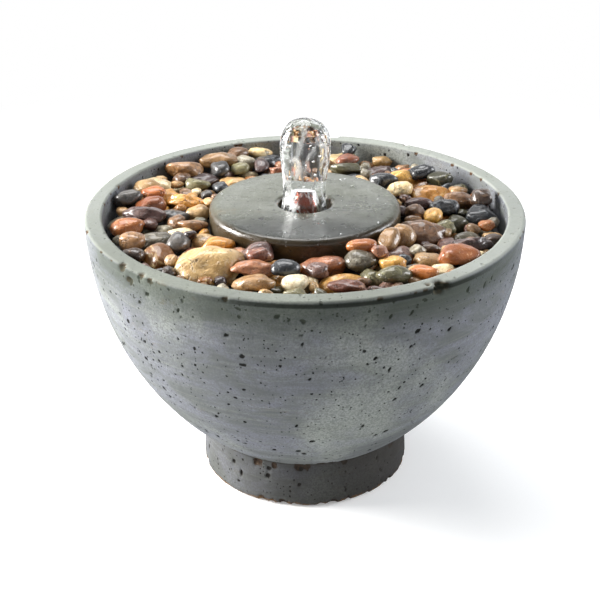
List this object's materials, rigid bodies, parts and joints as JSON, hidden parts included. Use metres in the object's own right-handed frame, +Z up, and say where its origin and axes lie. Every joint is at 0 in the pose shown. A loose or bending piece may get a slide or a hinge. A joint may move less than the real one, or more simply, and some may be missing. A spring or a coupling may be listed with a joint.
{
  "type": "tabletop pebble fountain with submersible pump",
  "caption": "Cast stone table-top fountain: a small submersible pump under a pebble tray lifts water through a holed stone cap as a short bubbling jet.",
  "frame": {"origin": "centre of the ring face under the foot, on the bowl's axis", "axes": "+Z up along the bowl's axis, -Y towards the viewer's front, +Y towards the cord notch in the foot, +X to the right"},
  "size_m": [0.3, 0.3, 0.26],
  "materials": {
    "cast_stone": "matte",
    "cap_stone": "satin",
    "black_rubber": "matte",
    "bush_rubber": "matte",
    "clear_rubber": "satin",
    "black_plastic": "satin",
    "grey_plastic": "satin",
    "white_plastic": "satin",
    "tray_plastic": "satin",
    "laminated_steel": "satin",
    "copper_wire": "gloss",
    "resin": "gloss",
    "steel_shaft": "satin",
    "clear_tube": "gloss",
    "copper": "satin",
    "water": "gloss",
    "ferrite": "satin",
    "pebble_tan": "gloss",
    "pebble_brown": "gloss",
    "pebble_amber": "gloss",
    "pebble_orange": "gloss",
    "pebble_rust": "gloss",
    "pebble_plum": "gloss",
    "pebble_slate": "gloss",
    "pebble_grey": "gloss",
    "pebble_cream": "gloss",
    "pebble_olive": "gloss"
  },
  "bodies": {
    "fountain": {"bowl": "cast_stone", "foot_ring": "cast_stone", "pump_housing": "black_plastic", "volute_seal": "black_rubber", "stator_core": "laminated_steel", "coil_bobbin": "white_plastic", "stator_coil": "copper_wire", "cable_gland": "black_rubber", "potting_resin": "resin", "motor_shaft": "steel_shaft", "shaft_bush_front": "bush_rubber", "shaft_bush_rear": "bush_rubber", "volute_cover": "black_plastic", "suction_cups": "clear_rubber", "riser_tube": "clear_tube", "nozzle": "copper", "water_jet": "water"},
    "stopper": {"cord_stopper": "black_rubber"},
    "rotor": {"rotor_magnet": "ferrite", "impeller": "white_plastic"},
    "strainer": {"strainer_cover": "black_plastic"},
    "flow_slider": {"flow_slider": "grey_plastic"},
    "tray": {"pebble_tray": "tray_plastic", "tray_legs": "tray_plastic", "cap_stand": "tray_plastic", "pebbles_tan": "pebble_tan", "pebbles_brown": "pebble_brown", "pebbles_amber": "pebble_amber", "pebbles_orange": "pebble_orange", "pebbles_rust": "pebble_rust", "pebbles_plum": "pebble_plum", "pebbles_slate": "pebble_slate", "pebbles_grey": "pebble_grey", "pebbles_cream": "pebble_cream", "pebbles_olive": "pebble_olive"},
    "cap": {"cap_disc": "cap_stone"}
  },
  "joints": [
    {"name": "rotor_spin", "type": "hinge", "parent": "fountain", "child": "rotor", "pos_m": [0, 0.02, 0.084], "axis": [0, 1, 0], "continuous": true},
    {"name": "strainer_pull", "type": "slide", "parent": "fountain", "child": "strainer", "axis": [0, -1, 0], "range_m": [0, 0.014]},
    {"name": "flow_slide", "type": "slide", "parent": "strainer", "child": "flow_slider", "axis": [0, 0, -1], "range_m": [0, 0.018], "deforming": ["water_jet"]},
    {"name": "tray_lift", "type": "slide", "parent": "fountain", "child": "tray", "axis": [0, 0, 1], "range_m": [0, 0.15]},
    {"name": "cap_lift", "type": "slide", "parent": "tray", "child": "cap", "axis": [0, 0, 1], "range_m": [0, 0.09]},
    {"name": "stopper_pull", "type": "slide", "parent": "fountain", "child": "stopper", "axis": [0, 0, 1], "range_m": [0, 0.025]}
  ]
}
